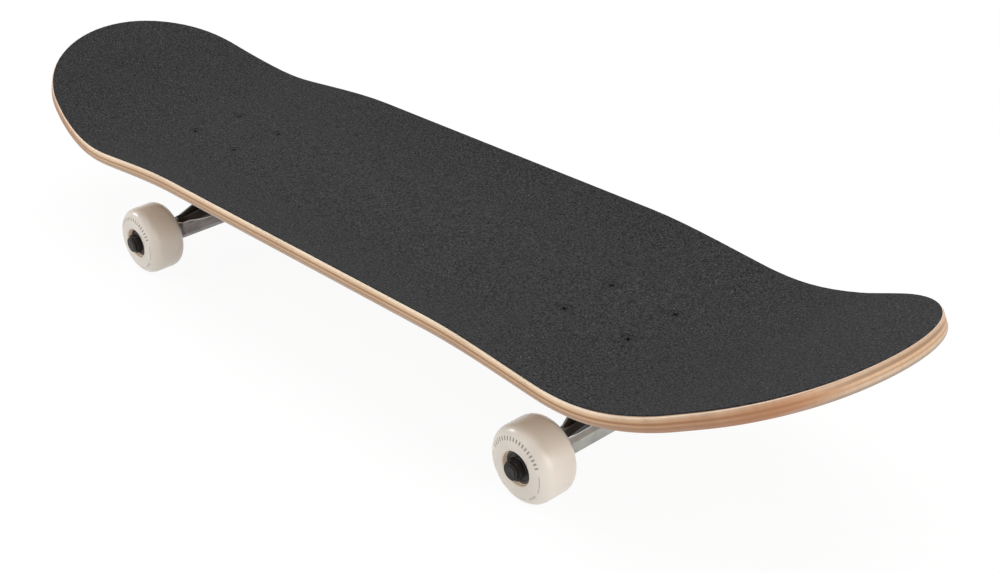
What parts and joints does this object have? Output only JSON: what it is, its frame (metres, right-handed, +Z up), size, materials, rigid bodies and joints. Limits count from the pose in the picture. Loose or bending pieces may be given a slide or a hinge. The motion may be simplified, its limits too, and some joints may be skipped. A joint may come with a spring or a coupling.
{
  "type": "skateboard",
  "caption": "Skateboard with a pressed maple deck, raised nose and tail, black grip, lean-steer trucks and urethane wheels on ball bearings.",
  "frame": {"origin": "on the floor under the middle of the board's box", "axes": "+X along the board to the nose, +Y to the left when facing the nose, +Z up"},
  "size_m": [0.8138, 0.2022, 0.1497],
  "materials": {
    "maple": "sealed maple veneer, bare edge",
    "grip": "fine black abrasive grit",
    "black_hardware": "black oxide",
    "black_casting": "black painted casting",
    "bare_casting": "bare cast aluminium at the axle tube, painted black above it",
    "steel": "zinc plated steel",
    "black_urethane": "moulded urethane",
    "cream_urethane": "cast urethane, slightly used",
    "bearing_steel": "ground bearing steel",
    "bearing_seal": "black rubber seal",
    "nylon": "moulded nylon",
    "spacer_metal": "turned"
  },
  "bodies": {
    "board": {"deck": "maple", "grip_tape": "grip", "mounting_bolts": "black_hardware", "mounting_nuts": "black_hardware", "nose_baseplate": "black_casting", "nose_pivot_cup": "black_urethane", "nose_kingpin": "steel", "nose_kingpin_nut": "steel", "nose_bushing_lower": "black_urethane", "nose_bushing_upper": "black_urethane", "nose_washer_lower": "steel", "nose_washer_upper": "steel", "tail_baseplate": "black_casting", "tail_pivot_cup": "black_urethane", "tail_kingpin": "steel", "tail_kingpin_nut": "steel", "tail_bushing_lower": "black_urethane", "tail_bushing_upper": "black_urethane", "tail_washer_lower": "steel", "tail_washer_upper": "steel"},
    "nose_truck": {"nose_hanger": "bare_casting", "nose_axle": "steel", "nose_axle_nuts": "black_hardware", "nose_speed_washers": "steel", "nose_left_bearing_inner_rings": "bearing_steel", "nose_left_bearing_spacer": "spacer_metal", "nose_right_bearing_inner_rings": "bearing_steel", "nose_right_bearing_spacer": "spacer_metal"},
    "nose_left_wheel_set": {"nose_left_wheel": "cream_urethane", "nose_left_bearing_outer_rings": "bearing_steel", "nose_left_bearing_shields": "bearing_seal"},
    "nose_left_ball_train": {"nose_left_bearing_balls": "bearing_steel", "nose_left_bearing_cages": "nylon"},
    "nose_right_wheel_set": {"nose_right_wheel": "cream_urethane", "nose_right_bearing_outer_rings": "bearing_steel", "nose_right_bearing_shields": "bearing_seal"},
    "nose_right_ball_train": {"nose_right_bearing_balls": "bearing_steel", "nose_right_bearing_cages": "nylon"},
    "tail_truck": {"tail_hanger": "bare_casting", "tail_axle": "steel", "tail_axle_nuts": "black_hardware", "tail_speed_washers": "steel", "tail_left_bearing_inner_rings": "bearing_steel", "tail_left_bearing_spacer": "spacer_metal", "tail_right_bearing_inner_rings": "bearing_steel", "tail_right_bearing_spacer": "spacer_metal"},
    "tail_left_wheel_set": {"tail_left_wheel": "cream_urethane", "tail_left_bearing_outer_rings": "bearing_steel", "tail_left_bearing_shields": "bearing_seal"},
    "tail_left_ball_train": {"tail_left_bearing_balls": "bearing_steel", "tail_left_bearing_cages": "nylon"},
    "tail_right_wheel_set": {"tail_right_wheel": "cream_urethane", "tail_right_bearing_outer_rings": "bearing_steel", "tail_right_bearing_shields": "bearing_seal"},
    "tail_right_ball_train": {"tail_right_bearing_balls": "bearing_steel", "tail_right_bearing_cages": "nylon"}
  },
  "joints": [
    {"name": "nose_steer", "type": "hinge", "parent": "board", "child": "nose_truck", "pos_m": [0.18585, 0, 0.04691], "axis": [0.8921, 0, 0.4518], "range_deg": [-15, 15], "stiffness_Nm_per_rad": 40, "deforming": ["nose_bushing_lower", "nose_bushing_upper"]},
    {"name": "nose_left_spin", "type": "hinge", "parent": "nose_truck", "child": "nose_left_wheel_set", "pos_m": [0.20675, 0.0816, 0.026], "axis": [0, 1, 0], "continuous": true},
    {"name": "nose_left_ball_roll", "type": "hinge", "parent": "nose_truck", "child": "nose_left_ball_train", "pos_m": [0.20675, 0.0816, 0.026], "axis": [0, 1, 0], "continuous": true},
    {"name": "nose_right_spin", "type": "hinge", "parent": "nose_truck", "child": "nose_right_wheel_set", "pos_m": [0.20675, -0.0816, 0.026], "axis": [0, 1, 0], "continuous": true},
    {"name": "nose_right_ball_roll", "type": "hinge", "parent": "nose_truck", "child": "nose_right_ball_train", "pos_m": [0.20675, -0.0816, 0.026], "axis": [0, 1, 0], "continuous": true},
    {"name": "tail_steer", "type": "hinge", "parent": "board", "child": "tail_truck", "pos_m": [-0.20415, 0, 0.04691], "axis": [-0.8921, 0, 0.4518], "range_deg": [-15, 15], "stiffness_Nm_per_rad": 40, "deforming": ["tail_bushing_lower", "tail_bushing_upper"]},
    {"name": "tail_left_spin", "type": "hinge", "parent": "tail_truck", "child": "tail_left_wheel_set", "pos_m": [-0.22505, 0.0816, 0.026], "axis": [0, 1, 0], "continuous": true},
    {"name": "tail_left_ball_roll", "type": "hinge", "parent": "tail_truck", "child": "tail_left_ball_train", "pos_m": [-0.22505, 0.0816, 0.026], "axis": [0, 1, 0], "continuous": true},
    {"name": "tail_right_spin", "type": "hinge", "parent": "tail_truck", "child": "tail_right_wheel_set", "pos_m": [-0.22505, -0.0816, 0.026], "axis": [0, 1, 0], "continuous": true},
    {"name": "tail_right_ball_roll", "type": "hinge", "parent": "tail_truck", "child": "tail_right_ball_train", "pos_m": [-0.22505, -0.0816, 0.026], "axis": [0, 1, 0], "continuous": true}
  ],
  "couplings": [
    {"joint": "nose_left_ball_roll", "follows": "nose_left_spin", "ratio": 0.63233},
    {"joint": "nose_right_ball_roll", "follows": "nose_right_spin", "ratio": 0.63233},
    {"joint": "tail_left_ball_roll", "follows": "tail_left_spin", "ratio": 0.63233},
    {"joint": "tail_right_ball_roll", "follows": "tail_right_spin", "ratio": 0.63233}
  ]
}
